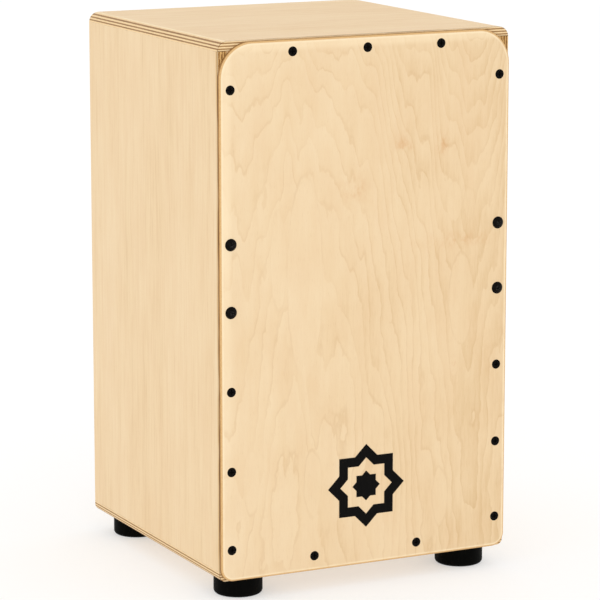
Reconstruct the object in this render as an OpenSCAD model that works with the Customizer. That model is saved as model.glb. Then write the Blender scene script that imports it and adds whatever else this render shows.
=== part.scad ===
// Cajon: a box drum of birch plywood that the player sits on.
// The striking plate closes the front, and the round sound hole is in the rear panel.
// +Z is up, the striking plate faces -Y, and the origin is on the floor at the middle of the footprint.

/* [Box] */
// Width of the box across the striking plate
box_w = 300; // [260:5:340]
// Depth of the box from the face of the striking plate to the back
box_d = 300; // [260:5:340]
// Height of the box without its feet
box_h = 500; // [470:5:560]
// Thickness of the top, bottom and side panels
panel_t = 9; // [8:0.5:12]
// Radius of the two upper edges that run from front to back
edge_r = 10; // [4:0.5:13]
// Radius of the two lower edges that run from front to back
low_edge_r = 6; // [3:0.5:9]

/* [Striking plate] */
// Thickness of the striking plate
plate_t = 3.5; // [3:0.5:5]
// Radius of the two upper corners of the striking plate
plate_top_r = 33; // [15:1:40]
// Radius of the two lower corners of the striking plate
plate_low_r = 13; // [10:1:20]
// Step from the seat down to the upper edge of the striking plate
plate_drop = 1; // [0.5:0.5:2]

/* [Rear panel] */
// Thickness of the rear panel
rear_t = 5; // [4:0.5:8]
// Diameter of the sound hole
hole_d = 120; // [90:5:140]
// Height of the sound hole's centre above the bottom of the box
hole_z = 310; // [260:5:350]
// Depth of the rear panel's face behind the rear edges of the box
rear_recess = 1; // [0.5:0.5:3]

/* [Battens] */
// Width of a batten against the panel that it is glued to
batten_w = 15; // [15:1:20]
// Depth of a batten from front to back
batten_d = 18; // [18:1:24]

/* [Screws] */
// Distance of the side rows of screws from the inside faces of the side panels
screw_side_in = 2; // [2:0.5:5]
// Distance of the upper row of screws from the inside face of the top panel
screw_top_in = 3; // [2:0.5:6]
// Distance of the lower row of screws from the inside face of the bottom panel
screw_low_in = 5.5; // [2:0.5:8]
// Diameter of a flush screw's head
flush_head_d = 9; // [7:0.5:9]
// Diameter of a domed screw's head
dome_head_d = 11.5; // [9:0.5:12]
// Height of a domed screw's head
dome_head_h = 2.4; // [2:0.1:3]

/* [Snare] */
// Height of the rail that carries the snares
rail_h = 80; // [70:5:90]
// Thickness of the rail
rail_t = 12; // [10:1:15]
// Number of wires in each snare
wire_count = 10; // [6:1:12]
// Free length of a snare wire above its plate
wire_free = 105; // [80:5:130]

/* [Feet] */
// Diameter of a rubber foot
foot_d = 46; // [36:1:50]
// Height of a rubber foot
foot_h = 20; // [16:1:26]
// Distance of a foot's centre from the sides, front and back of the box
foot_in = 32; // [28:1:40]

/* [Emblem] */
// Width of the printed star
emblem_w = 80; // [50:1:90]

/* [Hidden] */
$fn = 96;

birch = "#f0d5ac";
birch_edge = "#e9c896";
pine = "#e3bd86";
black = "#17151a";
steel = "#b9bcc0";
brass = "#c9a65a";

// Planes across the depth: the screw heads that stand proud count in the footprint.
front_y = (dome_head_h - box_d) / 2;
rear_y = front_y + box_d;
frame_y = front_y + plate_t;
rail_y = frame_y + batten_d;
rear_face_y = rear_y - rear_recess;
rear_frame_y = rear_face_y - rear_t;

// Planes over the height and the width
base_z = foot_h;
top_z = base_z + box_h;
inner_low_z = base_z + panel_t;
inner_top_z = top_z - panel_t;
inner_x = box_w / 2 - panel_t;
inner_h = inner_top_z - inner_low_z;

// Screws of the striking plate, driven through it into the front battens.
// Most have flush 90 degree heads; four have larger domed heads.
plate_shank_d = 3.5;
plate_screw_l = 20;
flush_cone_h = (flush_head_d - plate_shank_d) / 2;
// Air round a shank, and at the end of its blind hole
shank_air = 0.1;
hole_end_air = 0.5;
tip_l = 3;
recess_w = 1;

// Rows of screws. The stretch above the domed screws is left free so that the plate can slap.
side_x = inner_x - screw_side_in;
flush_side_z = [for (share = [0.06, 0.208, 0.358, 0.912]) base_z + share * box_h];
domed_z = [for (share = [0.506, 0.631]) base_z + share * box_h];
top_row_z = inner_top_z - screw_top_in;
low_row_z = inner_low_z + screw_low_in;
top_row_x = [for (i = [-1:1]) i * box_w * 0.255];
low_row_x = [for (side = [-1, 1]) side * box_w * 0.18];
flush_points = concat(
    [for (side = [-1, 1], z = flush_side_z) [side * side_x, z]],
    [for (x = top_row_x) [x, top_row_z]],
    [for (x = low_row_x) [x, low_row_z]]
);
domed_points = [for (side = [-1, 1], z = domed_z) [side * side_x, z]];

// Snare rail, level with the two rows of domed screws
rail_mid_z = (domed_z[0] + domed_z[1]) / 2;
rail_back_y = rail_y + rail_t;
rail_screw_x = inner_x - batten_w * 0.55;
rail_screw_dz = rail_h / 4;
pan_head_d = 7;
pan_head_h = 2;
rail_shank_d = 3.5;
rail_screw_l = rail_t + 14;

// Each snare: a block on the rail, a plate screwed to it, and wires that lean on the plate's back.
snare_x = box_w * 0.2;
wire_pitch = 4;
wire_r = 0.8;
fan_w = (wire_count - 1) * wire_pitch;
block_w = fan_w + 34;
block_h = 40;
block_gap = 4;
block_y = frame_y + block_gap;
block_low_z = rail_mid_z - block_h / 2 + 12;
holder_w = block_w - 8;
holder_h = 16;
holder_t = 1;
holder_y = block_y - holder_t;
holder_low_z = block_low_z + block_h - holder_h - 4;
holder_screw_x = holder_w / 2 - 5;
holder_screw_z = holder_low_z + holder_h / 2;
snare_head_d = 5.5;
snare_head_h = 1.5;
snare_shank_d = 2.5;
snare_screw_l = 12;
wire_air = 0.05;
wire_touch_air = 0.3;
wire_low_z = holder_low_z + 1;
wire_l = holder_h - 1 + wire_free;
wire_low_y = holder_y - wire_r - wire_air;
wire_top_y = frame_y + wire_r + wire_touch_air;
wire_lean = asin((wire_low_y - wire_top_y) / wire_l);

// Feet: a rubber block with a washer and a screw sunk into its underside
foot_x = box_w / 2 - foot_in;
foot_round_r = 3.5;
foot_pocket_d = 15;
foot_pocket_h = foot_h / 2;
foot_bore_d = 5.2;
foot_shank_d = 4.5;
foot_screw_reach = panel_t - 2;
washer_d = 13;
washer_t = 1.2;
foot_head_d = 9;
foot_head_h = 2.6;

// Emblem: an open eight-pointed star with a small solid one inside
emblem_t = 0.2;
emblem_z = base_z + 0.152 * box_h;
star_side = emblem_w / sqrt(2);
star_window = 0.68;
star_core = 0.36;

// An outline drawn in X and Z, extruded from the plane y over the given length
module along_y(y, length)
    translate([0, y + length, 0])
        rotate([90, 0, 0])
            linear_extrude(length)
                children();

// A block given by its lowest corner and its size
module block(corner, size)
    translate(corner)
        cube(size);

// An upright rectangle with its own radius at the lower and at the upper corners
module rounded_upright(w, low_z, high_z, low_r, high_r) {
    for (side = [-1, 1]) {
        translate([side * (w / 2 - low_r), low_z + low_r])
            circle(low_r);
        translate([side * (w / 2 - high_r), high_z - high_r])
            circle(high_r);
    }
    translate([-w / 2, low_z + low_r])
        square([w, high_z - low_z - low_r - high_r]);
    translate([low_r - w / 2, low_z])
        square([w - 2 * low_r, low_r]);
    translate([high_r - w / 2, high_z - high_r])
        square([w - 2 * high_r, high_r]);
}

// The part of the box's rounded envelope between two heights and two widths
module box_slab(low_x, high_x, low_z, high_z)
    along_y(frame_y, rear_y - frame_y)
        intersection() {
            rounded_upright(box_w, base_z, top_z, low_edge_r, edge_r);
            translate([low_x, low_z])
                square([high_x - low_x, high_z - low_z]);
        }

// A round hole that starts at the plane y and runs towards the back
module drilled(x, y, z, d, depth)
    translate([x, y, z])
        rotate([-90, 0, 0])
            cylinder(h = depth, d = d);

// A cross recess, cut from a screw head's face along +Z
module cross_recess(span, depth)
    for (turn = [0, 90])
        rotate(turn)
            translate([-span / 2, -recess_w / 2, -depth])
                cube([span, recess_w, 2 * depth]);

// A shank that runs from z = 0 along +Z and ends in a blunt point
module shank(d, length) {
    cylinder(h = length - tip_l, d = d);
    translate([0, 0, length - tip_l])
        cylinder(h = tip_l, d1 = d, d2 = d / 4);
}

// A countersunk screw with its face at z = 0 and its point along +Z
module flush_screw()
    difference() {
        union() {
            cylinder(h = flush_cone_h, d1 = flush_head_d, d2 = plate_shank_d);
            shank(plate_shank_d, plate_screw_l);
        }
        cross_recess(flush_head_d * 0.6, 1.2);
    }

// The radius of the sphere that a cap of diameter d and height h is cut from
function cap_r(d, h) = (d * d / 4 + h * h) / (2 * h);

// A screw with a domed head below z = 0 and its point along +Z
module domed_screw(head_d, head_h, shank_d, length) {
    r = cap_r(head_d, head_h);
    difference() {
        intersection() {
            translate([0, 0, r - head_h])
                sphere(r);
            translate([0, 0, -head_h])
                cylinder(h = head_h, d = head_d + 1);
        }
        translate([0, 0, -head_h])
            cross_recess(head_d * 0.5, head_h * 0.5);
    }
    shank(shank_d, length);
}

// Places a screw at each [x, z] point, with its face or seat in the plane y, pointing to the back
module screws_to_back(points, y)
    for (p = points)
        translate([p[0], y, p[1]])
            rotate([-90, 0, 0])
                children();

module top_panel()
    color(birch)
        box_slab(-box_w / 2, box_w / 2, inner_top_z, top_z);

module bottom_panel()
    color(birch)
        difference() {
            box_slab(-box_w / 2, box_w / 2, base_z, inner_low_z);
            for (x = [-1, 1], y = foot_ys())
                translate([x * foot_x, y, base_z - 1])
                    cylinder(h = 1 + foot_screw_reach + hole_end_air, d = foot_shank_d + 2 * shank_air);
        }

module side_panel(side) {
    low_x = side < 0 ? -box_w / 2 : inner_x;
    color(birch)
        box_slab(low_x, low_x + panel_t, inner_low_z, inner_top_z);
}

module rear_panel()
    color(birch)
        difference() {
            block([-inner_x, rear_frame_y, inner_low_z], [2 * inner_x, rear_t, inner_h]);
            drilled(0, rear_frame_y - 1, base_z + hole_z, hole_d, rear_t + 2);
        }

module front_plate()
    color(birch)
        difference() {
            along_y(front_y, plate_t)
                rounded_upright(box_w, base_z, top_z - plate_drop, plate_low_r, plate_top_r);
            screws_to_back(flush_points, front_y)
                countersink();
            screws_to_back(domed_points, front_y - 1)
                cylinder(h = plate_t + 2, d = plate_shank_d + 2 * shank_air);
        }

// The seat of one flush screw, a little wider than the screw all round
module countersink() {
    cylinder(h = plate_t + 1, d = plate_shank_d + 2 * shank_air);
    translate([0, 0, -shank_air])
        cylinder(
            h = flush_cone_h + shank_air,
            d1 = flush_head_d + 4 * shank_air,
            d2 = plate_shank_d + 2 * shank_air
        );
}

// Blind holes for the screws of the striking plate, cut from the front battens
module plate_screw_holes()
    screws_to_back(concat(flush_points, domed_points), frame_y - 1)
        cylinder(h = 1 + plate_screw_l - plate_t + hole_end_air, d = plate_shank_d + 2 * shank_air);

// Holes for the screws of the snare rail, which come from the back
module rail_screw_holes()
    for (p = rail_points())
        drilled(p[0], rail_back_y - rail_screw_l - hole_end_air, p[1],
            rail_shank_d + 2 * shank_air, rail_screw_l + hole_end_air + 1);

function rail_points() = [
    for (side = [-1, 1], dz = [-1, 1]) [side * rail_screw_x, rail_mid_z + dz * rail_screw_dz]
];

module upright_batten(side, y)
    block([side < 0 ? -inner_x : inner_x - batten_w, y, inner_low_z + batten_w],
        [batten_w, batten_d, inner_h - 2 * batten_w]);

module level_batten(z, y)
    block([-inner_x, y, z], [2 * inner_x, batten_d, batten_w]);

module front_batten_upright(side)
    color(pine)
        difference() {
            upright_batten(side, frame_y);
            plate_screw_holes();
            rail_screw_holes();
        }

module front_batten_level(z)
    color(pine)
        difference() {
            level_batten(z, frame_y);
            plate_screw_holes();
        }

module rear_batten_upright(side)
    color(pine)
        upright_batten(side, rear_frame_y - batten_d);

module rear_batten_level(z)
    color(pine)
        level_batten(z, rear_frame_y - batten_d);

// A glue block along a long inside corner, between the front and the rear battens
module corner_block(side, z)
    color(pine)
        block([side < 0 ? -inner_x : inner_x - batten_w, rail_y, z],
            [batten_w, rear_frame_y - batten_d - rail_y, batten_w]);

module snare_rail()
    color(birch_edge)
        difference() {
            block([-inner_x, rail_y, rail_mid_z - rail_h / 2], [2 * inner_x, rail_t, rail_h]);
            rail_screw_holes();
        }

// The points of one snare's screws
function holder_points(side) = [
    for (end = [-1, 1]) [side * snare_x + end * holder_screw_x, holder_screw_z]
];

module snare_block(side)
    color(pine)
        difference() {
            block([side * snare_x - block_w / 2, block_y, block_low_z],
                [block_w, rail_y - block_y, block_h]);
            screws_to_back(holder_points(side), block_y - 1)
                cylinder(h = 1 + snare_screw_l - holder_t + hole_end_air, d = snare_shank_d + 2 * shank_air);
        }

module snare_plate(side)
    color(brass)
        difference() {
            block([side * snare_x - holder_w / 2, holder_y, holder_low_z], [holder_w, holder_t, holder_h]);
            screws_to_back(holder_points(side), holder_y - 1)
                cylinder(h = holder_t + 2, d = snare_shank_d + 2 * shank_air);
        }

// Straight wires side by side; they lean forwards until they nearly touch the striking plate
module snare_wires(side)
    color(steel)
        for (i = [0:wire_count - 1])
            translate([side * snare_x - fan_w / 2 + i * wire_pitch, wire_low_y, wire_low_z])
                rotate([wire_lean, 0, 0])
                    cylinder(h = wire_l, r = wire_r, $fn = 24);

module plate_flush_screws()
    color(black)
        screws_to_back(flush_points, front_y)
            flush_screw();

module plate_domed_screws()
    color(black)
        screws_to_back(domed_points, front_y)
            domed_screw(dome_head_d, dome_head_h, plate_shank_d, plate_screw_l);

module rail_screws()
    color(steel)
        for (p = rail_points())
            translate([p[0], rail_back_y, p[1]])
                rotate([90, 0, 0])
                    domed_screw(pan_head_d, pan_head_h, rail_shank_d, rail_screw_l);

module snare_screws()
    color(steel)
        for (side = [-1, 1])
            screws_to_back(holder_points(side), holder_y)
                domed_screw(snare_head_d, snare_head_h, snare_shank_d, snare_screw_l);

function foot_ys() = [front_y + foot_in, rear_y - foot_in];

// The solid of one foot, turned about its own axis: straight sides and a rounded lower rim
module foot_form()
    rotate_extrude() {
        translate([0, foot_round_r])
            square([foot_d / 2, foot_h - foot_round_r]);
        square([foot_d / 2 - foot_round_r, foot_h]);
        translate([foot_d / 2 - foot_round_r, foot_round_r])
            intersection() {
                circle(foot_round_r);
                translate([0, -foot_round_r])
                    square([foot_round_r, 2 * foot_round_r]);
            }
    }

module foot(side, y)
    color(black)
        translate([side * foot_x, y, 0])
            difference() {
                foot_form();
                translate([0, 0, -1])
                    cylinder(h = foot_pocket_h + 1, d = foot_pocket_d);
                cylinder(h = foot_h + 1, d = foot_bore_d);
            }

module foot_washers()
    color(steel)
        for (side = [-1, 1], y = foot_ys())
            translate([side * foot_x, y, foot_pocket_h - washer_t])
                difference() {
                    cylinder(h = washer_t, d = washer_d);
                    translate([0, 0, -1])
                        cylinder(h = washer_t + 2, d = foot_bore_d);
                }

module foot_screws() {
    seat_z = foot_pocket_h - washer_t;
    color(steel)
        for (side = [-1, 1], y = foot_ys())
            translate([side * foot_x, y, seat_z])
                domed_screw(foot_head_d, foot_head_h, foot_shank_d, base_z - seat_z + foot_screw_reach);
}

// An eight-pointed star: two squares, one of them turned by 45 degrees
module star(side)
    for (turn = [0, 45])
        rotate(turn)
            square(side, center = true);

module front_emblem()
    color(black)
        along_y(front_y - emblem_t, emblem_t)
            translate([0, emblem_z]) {
                difference() {
                    star(star_side);
                    star(star_side * star_window);
                }
                star(star_side * star_core);
            }

top_panel();
bottom_panel();
side_panel(-1);  // left_side_panel
side_panel(1);  // right_side_panel
rear_panel();
front_plate();
front_batten_upright(-1);  // front_batten_left
front_batten_upright(1);  // front_batten_right
front_batten_level(inner_top_z - batten_w);  // front_batten_top
front_batten_level(inner_low_z);  // front_batten_bottom
rear_batten_upright(-1);  // rear_batten_left
rear_batten_upright(1);  // rear_batten_right
rear_batten_level(inner_top_z - batten_w);  // rear_batten_top
rear_batten_level(inner_low_z);  // rear_batten_bottom
corner_block(-1, inner_top_z - batten_w);  // corner_block_top_left
corner_block(1, inner_top_z - batten_w);  // corner_block_top_right
corner_block(-1, inner_low_z);  // corner_block_bottom_left
corner_block(1, inner_low_z);  // corner_block_bottom_right
snare_rail();
snare_block(-1);  // snare_block_left
snare_block(1);  // snare_block_right
snare_plate(-1);  // snare_plate_left
snare_plate(1);  // snare_plate_right
snare_wires(-1);  // snare_wires_left
snare_wires(1);  // snare_wires_right
plate_flush_screws();
plate_domed_screws();
rail_screws();
snare_screws();
foot(-1, foot_ys()[0]);  // foot_front_left
foot(1, foot_ys()[0]);  // foot_front_right
foot(-1, foot_ys()[1]);  // foot_rear_left
foot(1, foot_ys()[1]);  // foot_rear_right
foot_screws();
foot_washers();
front_emblem();
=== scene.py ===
"""Looks of the cajon: birch plywood box, screwed striking plate, rubber feet and inner snares."""
import math
import bmesh
import bpy
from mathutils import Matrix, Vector


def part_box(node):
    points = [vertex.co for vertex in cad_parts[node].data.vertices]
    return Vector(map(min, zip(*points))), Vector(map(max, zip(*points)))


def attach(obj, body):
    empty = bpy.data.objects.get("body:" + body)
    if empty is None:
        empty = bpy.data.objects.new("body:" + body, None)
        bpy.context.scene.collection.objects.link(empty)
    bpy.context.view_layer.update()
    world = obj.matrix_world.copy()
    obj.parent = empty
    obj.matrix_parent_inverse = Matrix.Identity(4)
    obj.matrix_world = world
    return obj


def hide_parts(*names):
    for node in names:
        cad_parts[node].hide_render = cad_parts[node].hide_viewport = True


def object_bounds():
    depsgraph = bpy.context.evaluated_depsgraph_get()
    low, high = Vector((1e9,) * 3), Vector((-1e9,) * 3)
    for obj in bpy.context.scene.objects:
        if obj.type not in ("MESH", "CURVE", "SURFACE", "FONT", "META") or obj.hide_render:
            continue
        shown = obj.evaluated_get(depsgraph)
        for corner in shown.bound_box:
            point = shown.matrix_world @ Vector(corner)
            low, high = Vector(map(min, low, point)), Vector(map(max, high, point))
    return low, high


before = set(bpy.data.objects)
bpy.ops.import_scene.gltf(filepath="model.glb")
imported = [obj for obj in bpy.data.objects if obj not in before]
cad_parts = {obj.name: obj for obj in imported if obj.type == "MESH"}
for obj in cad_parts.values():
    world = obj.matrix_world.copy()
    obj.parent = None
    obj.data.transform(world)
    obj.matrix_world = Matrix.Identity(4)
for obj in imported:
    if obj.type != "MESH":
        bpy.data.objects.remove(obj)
cad_low, cad_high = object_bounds()

MM = 0.001
# The part has no joints, so everything rides on one body
BODY = "root"

# ---------------------------------------------------------------- sizes read from the frame
plate_low, plate_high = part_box("front_plate")
top_low, top_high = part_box("top_panel")
bottom_low, bottom_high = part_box("bottom_panel")
rear_low, rear_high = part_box("rear_panel")

FRONT_Y = plate_low.y
FRAME_Y = plate_high.y
REAR_Y = top_high.y
BASE_Z = bottom_low.z
TOP_Z = top_high.z
HALF_W = plate_high.x
PANEL_T = top_high.z - top_low.z
PLATE_T = FRAME_Y - FRONT_Y
REAR_T = rear_high.y - rear_low.y
FOOT_H = BASE_Z

# Shapes that the boxes don't tell: the box's long edges, the plate's corners, its rim and the slight fall of
# its face towards the rim, the plies, and the sound hole
EDGE_R = 10 * MM
LOW_EDGE_R = 6 * MM
PLATE_TOP_R = 33 * MM
PLATE_LOW_R = 13 * MM
PLATE_ROUND = 2.5 * MM
PILLOW_W = 3.2 * MM
PILLOW_DROP = 0.10 * MM
PLY_COUNT = 7
PLATE_PLY_COUNT = 3
HOLE_R = 60 * MM
HOLE_Z = BASE_Z + 310 * MM
ARC_STEP = math.radians(4)

# Rows of plate screws, from the inside faces of the panels. Heights are shares of the box's height.
BOX_H = TOP_Z - BASE_Z
BOX_W = 2 * HALF_W
SIDE_ROW_X = HALF_W - PANEL_T - 2 * MM
TOP_ROW_Z = top_low.z - 3 * MM
TOP_ROW_STEP = 0.255 * BOX_W
LOW_ROW_Z = bottom_high.z + 5.5 * MM
LOW_ROW_X = 0.18 * BOX_W
FLUSH_HEIGHTS = (0.06, 0.208, 0.358, 0.912)
DOMED_HEIGHTS = (0.506, 0.631)


def side_points(heights):
    """Places of the screws down both sides of the plate."""
    return [(side * SIDE_ROW_X, BASE_Z + share * BOX_H) for side in (-1, 1) for share in heights]


DOMED_POINTS = side_points(DOMED_HEIGHTS)
FLUSH_POINTS = side_points(FLUSH_HEIGHTS)
FLUSH_POINTS += [(i * TOP_ROW_STEP, TOP_ROW_Z) for i in (-1, 0, 1)]
FLUSH_POINTS += [(side * LOW_ROW_X, LOW_ROW_Z) for side in (-1, 1)]
FLUSH_HEAD_R = 4.5 * MM
DOME_HEAD_R = 5.75 * MM
SHANK_R = 1.75 * MM
HOLE_AIR = 0.1 * MM
CONE_H = FLUSH_HEAD_R - SHANK_R

# ---------------------------------------------------------------- camera
VIEW_AZIMUTH = math.radians(-26.47)
VIEW_ELEVATION = math.radians(10.94)
VIEW_DISTANCE = 3.043
LENS = 188.4
AIM_RIGHT = 4.4 * MM
AIM_UP = -12.5 * MM


def make_camera():
    """A long lens at the left front, a little above the drum's middle."""
    centre = (cad_low + cad_high) / 2
    back = Vector((
        math.sin(VIEW_AZIMUTH) * math.cos(VIEW_ELEVATION),
        -math.cos(VIEW_AZIMUTH) * math.cos(VIEW_ELEVATION),
        math.sin(VIEW_ELEVATION),
    ))
    turn = (-back).to_track_quat("-Z", "Y")
    right = turn @ Vector((1, 0, 0))
    up = turn @ Vector((0, 1, 0))
    data = bpy.data.cameras.new("camera")
    data.lens = LENS
    data.clip_end = 50
    camera = bpy.data.objects.new("camera", data)
    camera.rotation_mode = "QUATERNION"
    camera.rotation_quaternion = turn
    camera.location = centre + right * AIM_RIGHT + up * AIM_UP + back * VIEW_DISTANCE
    bpy.context.scene.collection.objects.link(camera)
    bpy.context.scene.camera = camera


make_camera()


# ---------------------------------------------------------------- node graphs
class Graph:
    """Builds one material's nodes around a Principled shader."""

    def __init__(self, name):
        self.material = bpy.data.materials.new(name)
        self.material.use_nodes = True
        self.tree = self.material.node_tree
        self.shader = self.tree.nodes["Principled BSDF"]

    def link(self, source, target):
        self.tree.links.new(source, target)

    def put(self, socket, value):
        """Links a socket, or sets a constant."""
        if isinstance(value, bpy.types.NodeSocket):
            self.link(value, socket)
        else:
            socket.default_value = value

    def math(self, operation, a, b=0.0, c=0.0):
        node = self.tree.nodes.new("ShaderNodeMath")
        node.operation = operation
        for socket, value in zip(node.inputs, (a, b, c)):
            self.put(socket, value)
        return node.outputs[0]

    def vector_math(self, operation, a, b):
        node = self.tree.nodes.new("ShaderNodeVectorMath")
        node.operation = operation
        self.put(node.inputs[0], a)
        self.put(node.inputs[1], b)
        return node.outputs[0]

    def combine(self, x, y, z):
        node = self.tree.nodes.new("ShaderNodeCombineXYZ")
        for socket, value in zip(node.inputs, (x, y, z)):
            self.put(socket, value)
        return node.outputs[0]

    def noise(self, vector, detail=2.0, roughness=0.5, scale=1.0):
        node = self.tree.nodes.new("ShaderNodeTexNoise")
        self.put(node.inputs["Vector"], vector)
        node.inputs["Scale"].default_value = scale
        node.inputs["Detail"].default_value = detail
        node.inputs["Roughness"].default_value = roughness
        return node.outputs["Fac"]

    def step(self, value, low, high, to_low=0.0, to_high=1.0):
        """A smooth step from to_low at low to to_high at high."""
        node = self.tree.nodes.new("ShaderNodeMapRange")
        node.interpolation_type = "SMOOTHSTEP"
        for key, item in zip(
            ("Value", "From Min", "From Max", "To Min", "To Max"), (value, low, high, to_low, to_high)
        ):
            self.put(node.inputs[key], item)
        return node.outputs["Result"]

    def band(self, value, low, full, ends, gone):
        """Rises smoothly from 0 at low to 1 at full, and falls again from ends to gone."""
        return self.math("MULTIPLY", self.step(value, low, full), self.step(value, ends, gone, 1.0, 0.0))

    def mix(self, factor, a, b, blend="MIX"):
        """Mixes two colours. Sockets 6 and 7 are the node's colour inputs, and 2 its colour output."""
        node = self.tree.nodes.new("ShaderNodeMix")
        node.data_type = "RGBA"
        node.blend_type = blend
        self.put(node.inputs[0], factor)
        self.put(node.inputs[6], a)
        self.put(node.inputs[7], b)
        return node.outputs[2]

    def ramp(self, value, stops):
        """A colour ramp with (position, colour) stops."""
        node = self.tree.nodes.new("ShaderNodeValToRGB")
        self.link(value, node.inputs[0])
        elements = node.color_ramp.elements
        while len(elements) < len(stops):
            elements.new(1.0)
        for element, (position, colour) in zip(elements, stops):
            element.position = position
            element.color = colour
        return node.outputs[0]

    def bump(self, height, strength, distance):
        node = self.tree.nodes.new("ShaderNodeBump")
        node.inputs["Strength"].default_value = strength
        node.inputs["Distance"].default_value = distance
        self.link(height, node.inputs["Height"])
        self.link(node.outputs[0], self.shader.inputs["Normal"])

    def position_mm(self):
        """The place on the object in millimetres, as separate x, y and z."""
        coordinates = self.tree.nodes.new("ShaderNodeTexCoord")
        scaled = self.tree.nodes.new("ShaderNodeVectorMath")
        scaled.operation = "SCALE"
        scaled.inputs["Scale"].default_value = 1 / MM
        self.link(coordinates.outputs["Object"], scaled.inputs[0])
        split = self.tree.nodes.new("ShaderNodeSeparateXYZ")
        self.link(scaled.outputs[0], split.inputs[0])
        return split.outputs[0], split.outputs[1], split.outputs[2]


def srgb(red, green, blue):
    """A linear RGBA colour from 0..255 sRGB values."""
    def linear(value):
        share = value / 255
        return share / 12.92 if share <= 0.04045 else ((share + 0.055) / 1.055) ** 2.4

    return linear(red), linear(green), linear(blue), 1.0


# ---------------------------------------------------------------- wood
FACE_PALE = srgb(241, 216, 178)
FACE_BASE = srgb(236, 208, 167)
FACE_DEEP = srgb(218, 184, 136)
RING_TINT = srgb(206, 168, 120)
FLECK_TINT = srgb(208, 148, 86)
# Pale colour of the arris, partly wear and partly painted highlight, and of the plate's painted rim highlight
PALE_WEAR_AND_HIGHLIGHT = srgb(255, 234, 196)
# Edge colours: pale ply, its deeper fibres, cross ply, its deeper fibres
PANEL_EDGE = (srgb(250, 220, 172), srgb(238, 204, 152), srgb(170, 128, 80), srgb(142, 100, 58))
SIDE_EDGE = (srgb(226, 184, 118), srgb(202, 154, 90), srgb(148, 102, 50), srgb(118, 76, 32))
PLATE_EDGE = (srgb(230, 190, 134), srgb(212, 168, 110), srgb(200, 152, 94), srgb(172, 122, 66))
GLUE = srgb(104, 64, 14)
SOAKED_GLUE = srgb(206, 162, 96)


class Grain:
    """Coordinates of one panel: across and along its face grain, and its depth below the outer face."""

    def __init__(self, graph, axes, seed):
        self.graph = graph
        self.axes = dict(zip("xyz", graph.position_mm()))
        self.across, self.along, self.depth = (self.axes[axis] for axis in axes)
        self.seed = seed

    def field(self, wide, tall, deep=None, detail=2.0, roughness=0.5, shift=0.0):
        """Noise whose features are about so many millimetres wide, tall and deep."""
        g = self.graph
        base = g.combine(self.across, self.along, self.depth)
        moved = g.vector_math("MULTIPLY", base, (1 / wide, 1 / tall, 1 / (deep or wide)))
        # Each panel and each use of the noise reads a place of its own
        offset = (self.seed * 7.3 + shift, self.seed * 3.1 - shift, shift * 0.7)
        return g.noise(g.vector_math("ADD", moved, offset), detail, roughness)

    def centred(self, amount, *sizes, **options):
        """The same noise, from -amount / 2 to amount / 2."""
        return self.graph.math("MULTIPLY_ADD", self.field(*sizes, **options), amount, -amount / 2)

    def layered(self, value, layers):
        """A value with layers of centred noise: (amount, mm wide, mm tall, detail, roughness, shift) each."""
        for amount, wide, tall, detail, roughness, shift in layers:
            layer = self.centred(amount, wide, tall, detail=detail, roughness=roughness, shift=shift)
            value = self.graph.math("ADD", value, layer)
        return value

    def pores(self):
        """Short dark dashes along the grain: 1 in a pore and 0 beside it."""
        return self.graph.step(self.field(0.55, 7, detail=1, roughness=0.6, shift=81), 0.60, 0.74)


# Straight-grained figure: mean tone, its streaks as noise layers, and how dark its rings are
STRAIGHT_TONE = 0.42
STRAIGHT_STREAKS = (
    (0.5, 45, 420, 2, 0.5, 0),
    (0.75, 5, 150, 3, 0.6, 5),
    (0.75, 1.6, 40, 2, 0.6, 9),
)
STRAIGHT_RINGS = 0.22


def straight_figure(grain):
    """Straight-grained veneer: its tone from 0 (pale) to 1 (deep), and the strength of its rings."""
    g = grain.graph
    tone = grain.layered(STRAIGHT_TONE, STRAIGHT_STREAKS)
    ring = g.step(grain.field(2.6, 120, detail=2, roughness=0.55, shift=13), 0.60, 0.78)
    patches = g.step(grain.field(30, 130, detail=1, shift=23), 0.4, 0.7)
    return tone, g.math("MULTIPLY", g.math("MULTIPLY", ring, patches), STRAIGHT_RINGS)


# Rotary-cut figure, in millimetres: the upright middle of its rings, how far to each side they climb towards
# it, how soft the turns are, and the distance between rings at the top, which grows towards the floor
FIGURE_AXIS_X = 112.0
FIGURE_HALF_W = 122.0
AXIS_SOFT = 12.0
CLIMB_SOFT = 24.0
RINGS_PER_MM = 0.115
TOP_RING = 15.0
SPREAD = 62.0
# Waves of the rings, as noise layers whose amounts are in rings
RING_WAVES = (
    (4.6, 62, 420, 1.5, 0.5, 2),
    (2.8, 27, 170, 1.5, 0.5, 14),
    (1.7, 17, 64, 1.5, 0.5, 43),
    (0.65, 7, 18, 2, 0.5, 21),
)
# Zigzags: rings, width and length, the distances below the top where they fade, and the share that is left
ZIGZAG = (3.6, 24, 500)
ZIGZAG_FADE = (60, 230)
ZIGZAG_LEFT = 0.25
# Late wood starts, peaks and ends at these shares of a ring
LATE_WOOD = (0.78, 0.95, 1.0)
ROTARY_RINGS = 0.23
# Tone at the plate's middle, its change per millimetre to the right (painted shade: deeper to the right, as
# if lit from the left), and what early wood adds over a ring
ROTARY_TONE = 0.28
SHADE_SLOPE = 0.0012
EARLY_TONE = 0.17
ROTARY_STREAKS = (
    (0.62, 55, 110, 2, 0.5, 31),
    (0.34, 4, 70, 2, 0.6, 5),
    (0.34, 1.4, 14, 2, 0.6, 9),
)
# Where rings bulge up or down: middle across, height above the bottom, half width, half height, rings
FIGURE_SWELLS = ((-74, 330, 34, 420, 2.4), (-58, 215, 12, 90, -1.0), (112, 250, 26, 150, 1.2))
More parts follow.
